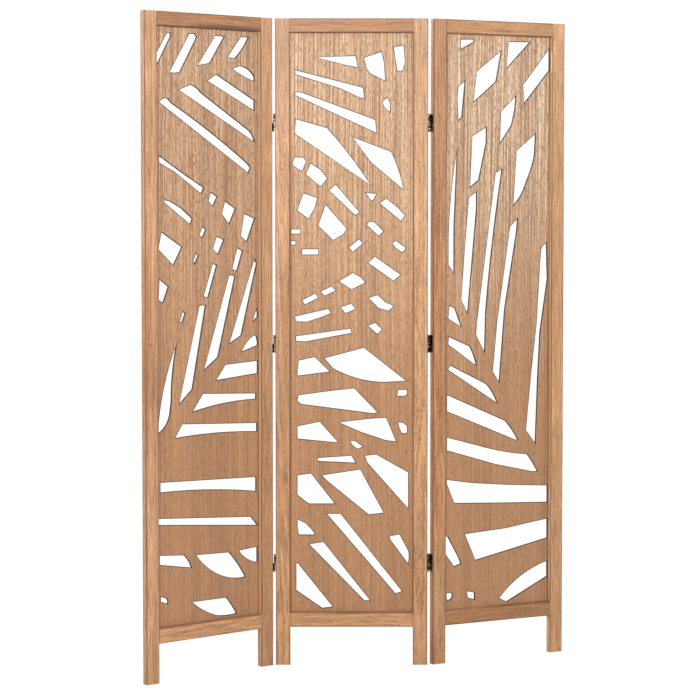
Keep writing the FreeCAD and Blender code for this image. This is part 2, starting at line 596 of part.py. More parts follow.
def make_pin(label, place, back):
    """A hinge pin with a flat head at each end."""
    shaft_foot = f"-{HALF_HEIGHT} - sizes.pin_end_play"
    shaft_height = "sizes.hinge_height + 2 * sizes.pin_end_play"
    head_foot = f"{shaft_foot} - sizes.pin_head_height"
    solids = [
        cylinder(f"{label}_shaft", ("0", back, head_foot), "sizes.pin_radius",
                 f"{shaft_height} + 2 * sizes.pin_head_height"),
        cylinder(f"{label}_lower_head", ("0", back, head_foot),
                 "sizes.pin_head_radius", "sizes.pin_head_height"),
        cylinder(f"{label}_upper_head", ("0", back, f"{HALF_HEIGHT} + sizes.pin_end_play"),
                 "sizes.pin_head_radius", "sizes.pin_head_height"),
    ]
    pin = fused(label, solids)
    pin.Placement = place
    return pin


def make_screws(label, place, edge, back, facing):
    """The six countersunk screws in one edge of a leaf, their heads to the given side."""
    turn = Rotation(ACROSS, facing * QUARTER_TURN)
    screws = []
    for number, height in enumerate(screw_heights(), start=1):
        name = f"{label}_{number}"
        tip = f"{edge} - {facing} * sizes.screw_length"
        shank = f"{tip} + {facing} * sizes.screw_tip"
        recess_low = f"{edge} + {facing} * sizes.flap_thick - {(facing + 1) // 2} * sizes.recess_depth"
        solid = fused(f"{name}_solid", [
            cone(f"{name}_tip", (tip, back, height), "0", "sizes.screw_radius",
                 "sizes.screw_tip", turn),
            cylinder(f"{name}_shank", (shank, back, height), "sizes.screw_radius",
                     "sizes.screw_length - sizes.screw_tip", turn),
            cone(f"{name}_head", (edge, back, height), "sizes.screw_radius",
                 "sizes.screw_head_radius", "sizes.flap_thick", turn),
        ])
        recess = fused(f"{name}_recess", [
            box(f"{name}_slot_up",
                (recess_low, f"{back} - sizes.recess_width / 2",
                 f"{height} - sizes.recess_length / 2"),
                "sizes.recess_depth", "sizes.recess_width", "sizes.recess_length"),
            box(f"{name}_slot_across",
                (recess_low, f"{back} - sizes.recess_length / 2",
                 f"{height} - sizes.recess_width / 2"),
                "sizes.recess_depth", "sizes.recess_length", "sizes.recess_width"),
        ])
        screws.append(cut(name, solid, recess))
    group = grouped(label, screws)
    group.Placement = place
    return group


def turned_about(pivot, degrees):
    """The placement that turns things about an upright line through the pivot."""
    turn = Rotation(UP, degrees)
    return Placement(pivot - turn.multVec(pivot), turn)


# Where each leaf stands. All three start side by side in one plane, the middle one with its
# front face on the XZ plane. The left leaf is then folded forward about its front pins, and the
# right leaf backward about its back pins.
panel_width = value("sizes.panel_width")
frame_thick = value("sizes.frame_thick")
hinge_gap = value("sizes.hinge_gap")
pin_offset = value("sizes.pin_offset")
left_mid_gap = Vector(-panel_width / 2 - hinge_gap / 2, 0, 0)
right_mid_gap = Vector(panel_width / 2 + hinge_gap / 2, 0, 0)
front_pin = Vector(0, -pin_offset, 0)
back_pin = Vector(0, frame_thick + pin_offset, 0)

left_turn = turned_about(left_mid_gap + front_pin, value("sizes.left_fold_degrees"))
right_turn = turned_about(right_mid_gap + back_pin, value("sizes.right_fold_degrees"))
flat_places = {
    "left": Placement(Vector(-panel_width / 2 - hinge_gap - panel_width, 0, 0), Rotation()),
    "middle": Placement(Vector(-panel_width / 2, 0, 0), Rotation()),
    "right": Placement(Vector(panel_width / 2 + hinge_gap, 0, 0), Rotation()),
}
folded_places = {
    "left": left_turn * flat_places["left"],
    "middle": flat_places["middle"],
    "right": right_turn * flat_places["right"],
}

# The origin goes under the middle of the box round the twelve plan corners of the leaves.
plan_corners = [Vector(x, y, 0) for x in (0, panel_width) for y in (0, frame_thick)]
standing = [place.multVec(corner) for place in folded_places.values() for corner in plan_corners]
low_corner = Vector(min(point.x for point in standing), min(point.y for point in standing), 0)
high_corner = Vector(max(point.x for point in standing), max(point.y for point in standing), 0)
to_origin = Placement(-(low_corner + high_corner) / 2, Rotation())
panel_places = {side: to_origin * place for side, place in folded_places.items()}


def shifted(place, across, up="0"):
    """A placement moved across and up its own leaf by two formulas."""
    return place * Placement(Vector(value(across), 0, value(up)), Rotation())


FLAP_SCREW_BACK = "sizes.screw_inset"
OUTER_FLAP_SCREW_BACK = "(sizes.frame_thick - sizes.screw_inset)"
sub_parts = []


def make_panel(side, stile_names, screw_backs, leaf_shares):
    """One leaf: two stiles, two rails, the pierced sheet and the dowels."""
    place = panel_places[side]
    sub_parts.append(make_stile(f"{side}_{stile_names[0]}_stile",
                                shifted(place, "sizes.stile_width"), -1, screw_backs[0]))
    sub_parts.append(make_stile(f"{side}_{stile_names[1]}_stile",
                                shifted(place, "sizes.panel_width - sizes.stile_width"),
                                1, screw_backs[1]))
    sub_parts.append(make_rail(f"{side}_top_rail",
                               shifted(place, "sizes.stile_width", OPENING_TOP),
                               1, "sizes.top_rail_height"))
    sub_parts.append(make_rail(f"{side}_bottom_rail",
                               shifted(place, "sizes.stile_width", OPENING_FLOOR),
                               -1, "sizes.bottom_rail_height"))
    sub_parts.append(make_infill(f"{side}_pierced_sheet", place, leaf_shares))
    sub_parts.append(make_dowels(f"{side}_dowels", place))


make_panel("left", ("outer", "inner"), (None, OUTER_FLAP_SCREW_BACK), LEFT_LEAF_SHARES)
make_panel("middle", ("left", "right"), (FLAP_SCREW_BACK, FLAP_SCREW_BACK), MIDDLE_LEAF_SHARES)
make_panel("right", ("inner", "outer"), (OUTER_FLAP_SCREW_BACK, None), RIGHT_LEAF_SHARES)

# A left hinge is a right one turned half round about the Y axis. The outer flap is the middle
# leaf's flap turned half round about the upright line through the middle of the frame's edge.
as_drawn = Placement()
mirrored = Placement(Vector(), Rotation(ACROSS, HALF_TURN))
outer_flap_turn = turned_about(Vector(0, frame_thick / 2, 0), HALF_TURN)
hinge_sides = {
    "left": (left_mid_gap, mirrored, left_turn, left_turn),
    "right": (right_mid_gap, as_drawn, Placement(), right_turn),
}
for side, (mid_gap, hand, link_turn, outer_turn) in hinge_sides.items():
    for row, height in HINGE_ROWS.items():
        centre = Placement(mid_gap + UP * value(height), Rotation())
        on_middle = to_origin * centre * hand
        on_link = to_origin * link_turn * centre * hand
        on_outer = to_origin * outer_turn * centre * hand
        name = f"{side}_{row}_hinge"
        sub_parts.append(make_flap(f"{name}_middle_flap", on_middle))
        sub_parts.append(make_link(f"{name}_link", on_link))
        sub_parts.append(make_flap(f"{name}_outer_flap", on_outer * outer_flap_turn))
        sub_parts.append(make_pin(f"{name}_front_pin", on_link, FRONT_PIN_BACK))
        sub_parts.append(make_pin(f"{name}_back_pin", on_link, BACK_PIN_BACK))

sub_parts.append(make_screws("left_hinge_screws", panel_places["left"],
                             "sizes.panel_width", OUTER_FLAP_SCREW_BACK, 1))
sub_parts.append(make_screws("middle_left_hinge_screws", panel_places["middle"],
                             "0", FLAP_SCREW_BACK, -1))
sub_parts.append(make_screws("middle_right_hinge_screws", panel_places["middle"],
                             "sizes.panel_width", FLAP_SCREW_BACK, 1))
sub_parts.append(make_screws("right_hinge_screws", panel_places["right"],
                             "0", OUTER_FLAP_SCREW_BACK, -1))

doc.recompute()
for thing in doc.Objects:
    if "Invalid" in thing.State or "Error" in thing.State:
        raise RuntimeError(f"{thing.Name} failed: {thing.State}")
for part in sub_parts:
    if part.Shape.isNull() or not part.Shape.isValid():
        raise RuntimeError(f"{part.Label} has no valid shape")

os.makedirs("parts", exist_ok=True)
for part in sub_parts:
    part.Shape.exportStep(f"parts/{part.Label}.step")

# The upright lines that the joints turn about
for side, (mid_gap, hand, link_turn, outer_turn) in hinge_sides.items():
    for end, pin in (("front", front_pin), ("back", back_pin)):
        spot = (to_origin * link_turn).multVec(mid_gap + pin)
        print(f"{side} {end} pins at {spot.x:.3f} {spot.y:.3f} mm")
print(f"{len(sub_parts)} nodes")
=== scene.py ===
# %% [markdown]
# # A folding screen with palm-leaf cut-outs
#
# The object is a room divider of three leaves. Each leaf is a frame of planed, stained paulownia
# boards round a thin veneered sheet that a laser has cut through, and dark bronzed hinges join
# the leaves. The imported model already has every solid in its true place. So this lesson gives
# the boards and hinges their surfaces, makes the sheets again with scorched edges, and sets up
# the studio.

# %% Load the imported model
import json
import math

import bpy
import numpy as np
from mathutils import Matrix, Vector
from mathutils.geometry import delaunay_2d_cdt


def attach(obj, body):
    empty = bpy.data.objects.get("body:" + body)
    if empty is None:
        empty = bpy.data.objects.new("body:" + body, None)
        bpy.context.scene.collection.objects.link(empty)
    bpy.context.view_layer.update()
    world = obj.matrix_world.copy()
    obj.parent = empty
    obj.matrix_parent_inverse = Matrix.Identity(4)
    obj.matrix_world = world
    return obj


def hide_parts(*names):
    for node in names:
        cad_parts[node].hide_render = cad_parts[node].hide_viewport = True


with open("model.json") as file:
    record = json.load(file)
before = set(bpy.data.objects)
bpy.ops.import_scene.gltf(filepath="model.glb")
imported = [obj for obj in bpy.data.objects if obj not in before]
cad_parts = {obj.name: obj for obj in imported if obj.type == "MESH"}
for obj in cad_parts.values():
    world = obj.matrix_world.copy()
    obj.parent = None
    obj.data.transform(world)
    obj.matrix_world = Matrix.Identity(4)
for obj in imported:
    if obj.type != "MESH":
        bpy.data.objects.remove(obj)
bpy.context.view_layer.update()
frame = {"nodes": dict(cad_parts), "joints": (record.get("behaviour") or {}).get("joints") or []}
nodes = frame["nodes"]
MM = 0.001

# %% [markdown]
# ## The camera
#
# The photograph was taken from about six metres with a long lens, in front of the middle leaf
# and at chest height, looking slightly down. The place, the turn and the lens come from fitting
# the corners of the three leaves and the edges of the cut-outs. Product photographers often keep
# the camera level and shift the lens instead. A small tilt with almost no shift draws nearly the
# same picture, and keeps the whole screen in view from other sides.

# %% Camera
# Fitted: the place in metres, the tilt down and the turn in radians
CAMERA_PLACE = (-0.0300, -5.8222, 1.2065)
CAMERA_TILT, CAMERA_TURN = 0.05104, -0.00064
camera_data = bpy.data.cameras.new("studio_camera")
camera_data.lens = 114.82
camera_data.sensor_width = 36.0
camera_data.shift_y = -0.04
camera_data.clip_end = 200.0
camera = bpy.data.objects.new("studio_camera", camera_data)
camera.location = CAMERA_PLACE
camera.rotation_euler = (math.pi / 2 - CAMERA_TILT, 0.0, CAMERA_TURN)
bpy.context.scene.collection.objects.link(camera)
bpy.context.scene.camera = camera
print("camera at", CAMERA_PLACE, "tilted", round(math.degrees(CAMERA_TILT), 2), "degrees")

# %% [markdown]
# ## Three leaves, three directions
#
# Wood grain runs with the board, not with the room, and two of the leaves stand turned. Each
# leaf therefore gets axes of its own: across it, back through it, and up. The turn comes from
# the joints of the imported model, whose ranges say how far each leaf is from lying flat. The
# leaf's origin is the front lower left corner of its boards. Measured from there, the boards
# also give the opening that each frame leaves for its sheet.

# %% Leaf axes
joint_ranges = {joint["name"]: joint["range_deg"] for joint in frame["joints"]}
leaf_turns = {
    "left": math.radians(-joint_ranges["left_front_fold"][0]),
    "middle": 0.0,
    "right": math.radians(-joint_ranges["right_back_fold"][0]),
}
leaf_stiles = {
    "left": ("left_outer_stile", "left_inner_stile"),
    "middle": ("middle_left_stile", "middle_right_stile"),
    "right": ("right_inner_stile", "right_outer_stile"),
}


def node_points(name):
    """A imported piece's points in metres, as rows of x, y and z."""
    mesh = nodes[name].data
    points = np.empty(len(mesh.vertices) * 3, dtype=np.float32)
    mesh.vertices.foreach_get("co", points)
    return points.reshape(-1, 3).astype(float)


def leaf_matrix(leaf):
    """Rows are the leaf's directions: across, back and up."""
    turn = leaf_turns[leaf]
    return np.array([[math.cos(turn), math.sin(turn), 0.0],
                     [-math.sin(turn), math.cos(turn), 0.0],
                     [0.0, 0.0, 1.0]])


leaf_origins = {}
for leaf, stiles in leaf_stiles.items():
    turned = np.vstack([node_points(name) for name in stiles]) @ leaf_matrix(leaf).T
    leaf_origins[leaf] = turned.min(axis=0)
    print(leaf, "turned", round(math.degrees(leaf_turns[leaf]), 1), "degrees, size",
          np.round(np.ptp(turned, axis=0), 4))


def to_leaf(points, leaf):
    """Each point's distances across, back and up its leaf: a turn, less the leaf's origin."""
    return points @ leaf_matrix(leaf).T - leaf_origins[leaf]


def from_leaf(local, leaf):
    """The way back from a leaf's own distances to the room."""
    return (local + leaf_origins[leaf]) @ leaf_matrix(leaf)


# %% Rails and openings
# For each leaf, the heights of its rails, and the left, right, sill and head of its opening
rails, opening = {}, {}
for leaf, stiles in leaf_stiles.items():
    left_stile, right_stile = [to_leaf(node_points(name), leaf) for name in stiles]
    heights = [to_leaf(node_points(f"{leaf}_{rail}_rail"), leaf)[:, 2]
               for rail in ("bottom", "top")]
    rails[leaf] = [(height.min(), height.max()) for height in heights]
    opening[leaf] = (left_stile[:, 0].max(), right_stile[:, 0].min(), rails[leaf][0][1],
                     rails[leaf][1][0])
    print(leaf, "opening in mm:", np.round(np.array(opening[leaf]) / MM, 1))

# %% [markdown]
# ## Helpers for every material
#
# Colours are written the way a paint chart gives them, as sRGB hex, and shaders want linear
# light, so one function converts them. Another adds a node of any kind, sets it and joins it,
# which keeps each material short enough to read as a recipe. A third turns the real size of a
# pattern, in millimetres across, through and along the wood, into the scale that draws it.

# %% Colours, nodes and pattern sizes


def linear(hex_colour):
    """An sRGB hex colour as linear RGBA: each share is ((c + 0.055) / 1.055) to the 2.4."""
    shares = [int(hex_colour[i:i + 2], 16) / 255 for i in (1, 3, 5)]
    lit = [c / 12.92 if c <= 0.04045 else ((c + 0.055) / 1.055) ** 2.4 for c in shares]
    return (*lit, 1.0)


def add(tree, kind, *given, out=None, **named):
    """Adds a node and gives its output.

    Names in small letters are its settings and names with a capital its inputs. Values without
    a name go to its inputs in order. A value that is another node's output is joined.
    """
    node = tree.nodes.new("ShaderNode" + kind)
    for name, setting in named.items():
        if name[0].islower():
            setattr(node, name, setting)
    pairs = list(zip([socket for socket in node.inputs if socket.enabled], given))
    pairs += [(node.inputs[name.replace("_", " ")], value) for name, value in named.items()
              if name[0].isupper()]
    for socket, value in pairs:
        if isinstance(value, bpy.types.NodeSocket):
            tree.links.new(value, socket)
        else:
            socket.default_value = value
    if out or not node.outputs:
        return node.outputs[out] if out else node
    return next(socket for socket in node.outputs if socket.enabled)


def new_material(name):
    """An empty material and its node tree."""
    material = bpy.data.materials.new(name)
    material.use_nodes = True
    material.node_tree.nodes.clear()
    return material, material.node_tree


def sized(across_mm, through_mm, along_mm):
    """The scale that makes one grain of a noise as large as three lengths in millimetres."""
    return (1 / (across_mm * MM), 1 / (through_mm * MM), 1 / (along_mm * MM))


print("one grain a millimetre wide and 40 long has scale", sized(1, 1, 40))

# %% [markdown]
# ## The boards: planed paulownia under a thin stain
#
# Paulownia is light, open grained and almost tan. A planed board is a slice of a log, so its
# figure is drawn in three dimensions, and then the face, the edge and the end agree at every
# corner. The yearly rings are circles round the log's heart, five to eight millimetres apart,
# and the wave texture draws them round a line beside the board. Leaning that line by a degree
# or so makes the tall arches that a flat-sawn face shows. Open pores hold more stain and show
# as short dark dashes, most of them in the dark late wood of each ring.
#
# Real pores are a third of a millimetre wide and would vanish at this distance, so they and the
# fibres between them are drawn about three times as wide.
#
# The boards are drawn darker in a thin line along the arrises, the corners where two planed
# faces meet. The edge that faces the sheet is painted paler, as painted light on that side
# face. Where a rail meets a stile flush there is no arris, only the line of the joint.

# %% The log that a board is cut from
# A trunk isn't straight: its heart wanders a few millimetres over half a metre
HEART_WANDER = 7 * MM


def log_space(tree, leaf, middle, lies_across, heart_mm, lean, seed):
    """Two places in a board: from its own middle, and from its log's heart with Z along the grain.

    The first is the point less the board's middle, turned to the leaf. The second is the first,
    laid on its side for a rail, leaned by a degree or so and moved by the heart's distance.
    """
    centred = add(tree, "Mapping", add(tree, "TexCoord", out="Object"),
                  Rotation=(0.0, 0.0, -leaf_turns[leaf]),
                  Location=tuple(-leaf_origins[leaf] - middle))
    quarter = math.pi / 2 if lies_across else 0.0
    log = add(tree, "Mapping", centred,
              Rotation=(math.radians(lean[0]), quarter + math.radians(lean[1]), 0.0),
              Location=(heart_mm[0] * MM, heart_mm[1] * MM, seed))
    wander = add(tree, "TexNoise", add(tree, "Mapping", log, Scale=sized(60, 60, 380)),
                 Scale=1.0, Detail=1.0)
    wander = add(tree, "MapRange", wander, 0.25, 0.75, -HEART_WANDER, HEART_WANDER)
    log = add(tree, "VectorMath", log, add(tree, "CombineXYZ", wander, 0.0, 0.0), operation="ADD")
    return centred, log


print("a log's heart wanders", HEART_WANDER / MM, "mm to either side")

# %% Rings, fibres and pores
# A wave texture draws its rings or bands this many metres apart at scale 1
WAVE_SPACING = 0.31416


def board_figure(tree, log, ring_mm, tones, figure, dashes):
    """A board's colour, and the fibres, clouds, late wood and pores that make it.

    Late wood grows darker through each ring and ends sharply. Pores are most of them in the
    late wood. Bands and clouds are slow changes across and along the board.
    """
    rings = add(tree, "TexWave", add(tree, "Mapping", log, Scale=(1.0, 1.0, 0.05)),
                wave_type="RINGS", rings_direction="Z", wave_profile="SAW",
                Scale=WAVE_SPACING / (ring_mm * MM), Distortion=2.0, Detail=2.0,
                Detail_Scale=1.2, out="Fac")
    late = add(tree, "Math",
               add(tree, "MapRange", rings, 0.3, 0.92, interpolation_type="SMOOTHSTEP"),
               add(tree, "MapRange", rings, 1.0, 0.95, interpolation_type="SMOOTHSTEP"),
               operation="MULTIPLY")
    fibres = add(tree, "TexNoise", add(tree, "Mapping", log, Scale=sized(3.2, 3.2, 60)),
                 Scale=1.0, Detail=2.0, Roughness=0.7)
    bands = add(tree, "TexNoise", add(tree, "Mapping", log, Scale=sized(11, 11, 600)),
                Scale=1.0, Detail=2.0)
    clouds = add(tree, "TexNoise", add(tree, "Mapping", log, Scale=sized(90, 90, 170)),
                 Scale=1.0, Detail=2.0)
    pores = add(tree, "TexNoise", add(tree, "Mapping", log, Scale=sized(2.1, 2.1, 10)),
                Scale=1.0, Detail=1.0)
    pores = add(tree, "MapRange", pores, 0.54, 0.62, interpolation_type="SMOOTHSTEP")
    pores = add(tree, "Math", pores, add(tree, "MapRange", late, 0.0, 0.8, 0.35, 1.0),
                operation="MULTIPLY")

    early_tone, late_tone, band_tone, pore_tone = tones
    colour = add(tree, "Mix", add(tree, "Math", late, figure, operation="MULTIPLY"), early_tone,
                 late_tone, data_type="RGBA")
    colour = add(tree, "Mix", add(tree, "MapRange", bands, 0.4, 0.68, 0.0, 0.7), colour,
                 band_tone, data_type="RGBA")
    light = add(tree, "Math", add(tree, "MapRange", fibres, 0.32, 0.68, 1.33, 0.67),
                add(tree, "MapRange", clouds, 0.3, 0.7, 0.91, 1.09), operation="MULTIPLY")
    colour = add(tree, "VectorMath", colour, operation="SCALE", Scale=light)
    colour = add(tree, "Mix", add(tree, "Math", pores, dashes, operation="MULTIPLY"), colour,
                 pore_tone, data_type="RGBA")
    return colour, fibres, clouds, late, pores


print("rings six millimetres apart have scale", round(WAVE_SPACING / (6 * MM), 2))

# %% Knots, streaks and paler lengths
# Pale sapwood tone; it also paints light onto the side of a stile that faces the sheet
SAPWOOD_AND_PAINTED_LIGHT = linear("#DDB78C")
# So low a scale through the board that a spot shows on its back as well
THROUGH_BOARD = 15.0


def spotted(tree, colour, centred, middle, fibres, spots, pore_tone):
    """The colour with its spots: a pin knot, a streak, or a darker or paler length. The long
    lengths are partly the board's own tone and partly painted shade and painted light.

    The distance from a spot's middle is measured in its own half width and half height, and
    the fibres fray its edge. A spot with a strength below nought is paler, in the sapwood tone.
    """
    for across_mm, up_mm, half_wide_mm, half_tall_mm, strength, softness in spots:
        spot = (across_mm * MM - middle[0], 0.0, up_mm * MM - middle[2])
        shares = (1 / (half_wide_mm * MM), THROUGH_BOARD, 1 / (half_tall_mm * MM))
        away = add(tree, "VectorMath", centred, spot, operation="SUBTRACT")
        away = add(tree, "VectorMath", away, shares, operation="MULTIPLY")
        away = add(tree, "VectorMath", away, operation="LENGTH", out="Value")
        away = add(tree, "Math", away, add(tree, "MapRange", fibres, 0.2, 0.8, -0.3, 0.3),
                   operation="ADD")
        shown = add(tree, "MapRange", away, 1.0, 1.0 - softness, 0.0, abs(strength),
                    interpolation_type="SMOOTHSTEP")
        colour = add(tree, "Mix", shown, colour, pore_tone if strength > 0 else SAPWOOD_AND_PAINTED_LIGHT,
                     data_type="RGBA")
    return colour


print("sapwood in linear light:", np.round(SAPWOOD_AND_PAINTED_LIGHT[:3], 3))

# %% Dark lines and painted light at the edges
# A dark line begins this far inside an edge, and is full here on an arris and in a seam
DARK_LINE_BEGINS, ARRIS_FULL, SEAM_FULL = -2.6 * MM, -1.4 * MM, -1.2 * MM


def edge_lines_and_painted_light(tree, leaf, centred, middle, half, lies_across, clouds):
    """How dark the lines along a board's arrises and joints are, and how much painted light pales
    its side that faces the sheet, as shares from 0 to 1.

    A point is |place| - half the size past the sides: nought on a side, and less inside. It is
    on an arris where it is near a side and near a face at once.
    """
    spread = add(tree, "VectorMath", centred, operation="ABSOLUTE")
    past = add(tree, "VectorMath", spread, tuple(half), operation="SUBTRACT")
    across, back, up = [add(tree, "SeparateXYZ", past, out=axis) for axis in "XYZ"]
    side = add(tree, "MapRange", up if lies_across else across, DARK_LINE_BEGINS, ARRIS_FULL)
    face = add(tree, "MapRange", back, DARK_LINE_BEGINS, ARRIS_FULL)
    arris = add(tree, "Math", side, face, operation="MULTIPLY")
    dark_lines = add(tree, "Math", arris, add(tree, "MapRange", clouds, 0.35, 0.65, 0.65, 0.95),
                   operation="MULTIPLY")
    if lies_across:
        # A thin line of stain shows where a rail's ends meet the stiles
        joint = add(tree, "MapRange", across, DARK_LINE_BEGINS, SEAM_FULL, 0.0, 0.5)
        return add(tree, "Math", dark_lines, joint, operation="MAXIMUM"), None

    # The edge that faces the sheet is painted paler: painted light on that side face
    x, z = [add(tree, "SeparateXYZ", centred, out=axis) for axis in "XZ"]
    opens_right = middle[0] < opening[leaf][0]
    inner = add(tree, "Math", x, 0.0, operation="GREATER_THAN" if opens_right else "LESS_THAN")
    sill, head = opening[leaf][2:]
    painted_lit_side = add(tree, "Math", z, (sill + head) / 2 - middle[2], (head - sill) / 2,
               operation="COMPARE")
    painted_lit_side = add(tree, "Math", add(tree, "Math", painted_lit_side, inner, operation="MULTIPLY"),
               add(tree, "MapRange", across, -0.4 * MM, -0.1 * MM, 0.0, 0.75),
               operation="MULTIPLY")
    # A rail meets the stile flush, so the stile has no arris there
    met = [add(tree, "Math", z, (foot + top) / 2 - middle[2], (top - foot) / 2,
               operation="COMPARE") for foot, top in rails[leaf]]
    met = add(tree, "Math", inner, add(tree, "Math", *met, operation="MAXIMUM"),
              operation="MULTIPLY")
    dark_lines = add(tree, "Math", dark_lines, add(tree, "Math", 1.0, met, operation="SUBTRACT"),
                   operation="MULTIPLY")
    return dark_lines, painted_lit_side


print("stain lines are", round((SEAM_FULL - DARK_LINE_BEGINS) / MM, 1), "mm soft")

# %% Board material


def paulownia_board(name, leaf, node, lies_across, heart_mm, ring_mm, tones, seed, lean, figure,
                    dashes, spots):
    """Planed, stained paulownia: half matt, with the dense late wood a little glossier.

    Its fibres stand a hair proud of the open pores, which gives the face a dry, silky look.
    """
    material, tree = new_material(name)
    local = to_leaf(node_points(node), leaf)
    low, high = local.min(axis=0), local.max(axis=0)
    middle, half = (low + high) / 2, (high - low) / 2
    tones = [linear(tone) for tone in tones]
    centred, log = log_space(tree, leaf, middle, lies_across, heart_mm, lean, seed)
    colour, fibres, clouds, late, pores = board_figure(tree, log, ring_mm, tones, figure, dashes)
    colour = spotted(tree, colour, centred, middle, fibres, spots, tones[-1])
    dark_lines, painted_lit_side = edge_lines_and_painted_light(tree, leaf, centred, middle, half, lies_across, clouds)
    if painted_lit_side is not None:
        # Painted light: the side that faces the sheet is paled towards the sapwood tone
        colour = add(tree, "Mix", painted_lit_side, colour, SAPWOOD_AND_PAINTED_LIGHT, data_type="RGBA")
    colour = add(tree, "Mix", dark_lines, colour, tones[-1], data_type="RGBA")

    roughness = add(tree, "MapRange", add(tree, "Math", fibres, late, operation="ADD"),
                    0.3, 1.4, 0.51, 0.39)
    relief = add(tree, "Math", add(tree, "Math", fibres, 0.5, operation="MULTIPLY"), pores,
                 operation="SUBTRACT")
    bump = add(tree, "Bump", Height=relief, Strength=0.4, Distance=0.15 * MM)
    shader = add(tree, "BsdfPrincipled", Base_Color=colour, Roughness=roughness, Normal=bump,
                 IOR=1.5, Specular_IOR_Level=0.5)
    add(tree, "OutputMaterial", Surface=shader)
    nodes[node].material_slots[0].material = material
    return material


# %% [markdown]
# ## Twelve boards, each from its own log
#
# The screen maker cuts stiles and rails from whatever board is at hand, so no two match. The
# outer stiles are straight grained, the middle ones show arches and strong pores, and the top
# rails are redder than the rest. Each row below places one board in a log.

# %% The boards
# Tones in order: early wood, late wood, band, pore
PALE_TONES = ("#D0A176", "#B17F53", "#C18F64", "#784D2F")
TAN_TONES = ("#CB9C71", "#AD7A50", "#BD8A60", "#74482B")
GREY_TONES = ("#C69872", "#A5764F", "#B5845B", "#6C442B")
WARM_TONES = ("#C28F65", "#9F6C45", "#AF7A51", "#6A4128")
RED_TONES = ("#B9804C", "#905932", "#9F6539", "#5D3820")
DARK_TONES = ("#AC794E", "#855533", "#945F3A", "#56331D")

# Each board: leaf, whether it lies across, heart in mm, ring width in mm, tones, a seed, lean in
# degrees, how strong its rings show, and how dark its pores are
boards = {
    "left_outer_stile": ("left", False, (14, 62), 6.0, GREY_TONES, 0.3, (0.2, 0.3), 0.7, 0.35),
    "left_inner_stile": ("left", False, (-58, 25), 6.5, GREY_TONES, 1.7, (0.3, 0.4), 0.6, 0.4),
    "left_top_rail": ("left", True, (-40, 46), 5.0, DARK_TONES, 2.9, (0.3, 0.5), 0.4, 0.4),
    "left_bottom_rail": ("left", True, (-22, 52), 6.0, TAN_TONES, 4.1, (0.5, 0.8), 0.5, 0.4),
    "middle_left_stile": ("middle", False, (-9, 38), 7.5, TAN_TONES, 5.3, (0.9, 1.3), 0.55, 0.5),
    "middle_right_stile": ("middle", False, (12, 34), 8.0, PALE_TONES, 6.9, (1.2, 0.9), 0.65, 0.65),
    "middle_top_rail": ("middle", True, (-46, 36), 5.0, RED_TONES, 8.2, (0.3, 0.4), 0.3, 0.3),
    "middle_bottom_rail": ("middle", True, (26, 38), 5.5, TAN_TONES, 9.6, (0.4, 0.5), 0.4, 0.4),
    "right_inner_stile": ("right", False, (5, 33), 7.0, WARM_TONES, 11.1, (0.8, 1.1), 0.6, 0.6),
    "right_outer_stile": ("right", False, (-52, 40), 7.2, PALE_TONES, 12.4, (0.4, 0.5), 0.6, 0.4),
    "right_top_rail": ("right", True, (36, 46), 5.4, RED_TONES, 13.8, (0.4, 0.6), 0.4, 0.4),
    "right_bottom_rail": ("right", True, (-32, 34), 5.8, DARK_TONES, 15.5, (0.4, 0.5), 0.2, 0.3),
}
# Spots: across and up the leaf, half width and half height in mm, strength, and softness
# The long spots, sixty millimetres or more to each side, darken or pale whole lengths of a board:
# partly its own tone, partly painted shade and painted light where the light falls off along it
board_spots_and_painted_light = {
    "left_outer_stile": (
        (15, 862, 6, 4.5, 0.6, 0.5),
        (24, 858, 8, 2.5, 0.4, 0.8),
        (19, 720, 60, 200, 0.26, 1),
        (19, 1180, 60, 160, -0.25, 1),
    ),
    "left_inner_stile": (
        (381, 300, 90, 900, 0.14, 0.8),
    ),
    "left_top_rail": (
        (260, 1668, 170, 9, 0.8, 0.6),
    ),
    "middle_left_stile": (
        (19, 720, 60, 400, 0.25, 1),
        (19, 1640, 60, 260, 0.26, 1),
    ),
    "middle_right_stile": (
        (381, 160, 60, 300, 0.14, 1),
        (381, 1620, 60, 260, 0.1, 1),
    ),
    "right_top_rail": (
        (200, 1668, 300, 60, -0.22, 0.5),
        (215, 1674, 60, 5, 0.45, 0.8),
    ),
    "right_inner_stile": (
        (19, 1500, 60, 500, 0.12, 1),
        (19, 170, 60, 200, -0.35, 1),
    ),
    "right_outer_stile": (
        (381, 1060, 60, 330, 0.2, 1),
    ),
    "right_bottom_rail": (
        (90, 140, 150, 7, -0.7, 0.7),
        (230, 118, 200, 7, 0.2, 0.9),
        (200, 120, 300, 60, -0.08, 0.3),
    ),
    "middle_bottom_rail": (
        (200, 138, 90, 3, 0.6, 0.8),
    ),
    "middle_top_rail": (
        (200, 1680, 300, 60, 0.1, 0.5),
    ),
}
for node, (leaf, lies_across, heart, ring, tones, seed, lean, figure, dashes) in boards.items():
    paulownia_board(f"planed_paulownia_{node}", leaf, node, lies_across, heart, ring, tones, seed,
                    lean, figure, dashes, board_spots_and_painted_light.get(node, ()))
print("boards finished:", len(boards))

# %% [markdown]
# ## The sheets: laser-cut veneered board
#
# The sheets are thin board faced with straight-grained veneer. A laser leaves the cut wall
# brown-black and scorches a fringe of the face, and that dark line is what draws the leaf
# shapes in the photograph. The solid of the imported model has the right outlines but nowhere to
# paint the fringe. So each sheet is made again: the outlines are read from the model's own
# front face, and a cross-section with a fringe, a softened edge and a wall is carried round
# each of them.

# %% Outlines of a sheet
# Points nearer than this are one point, and the front face is flat to within the second length
WELD, FLATNESS = 0.001 * MM, 0.1 * MM


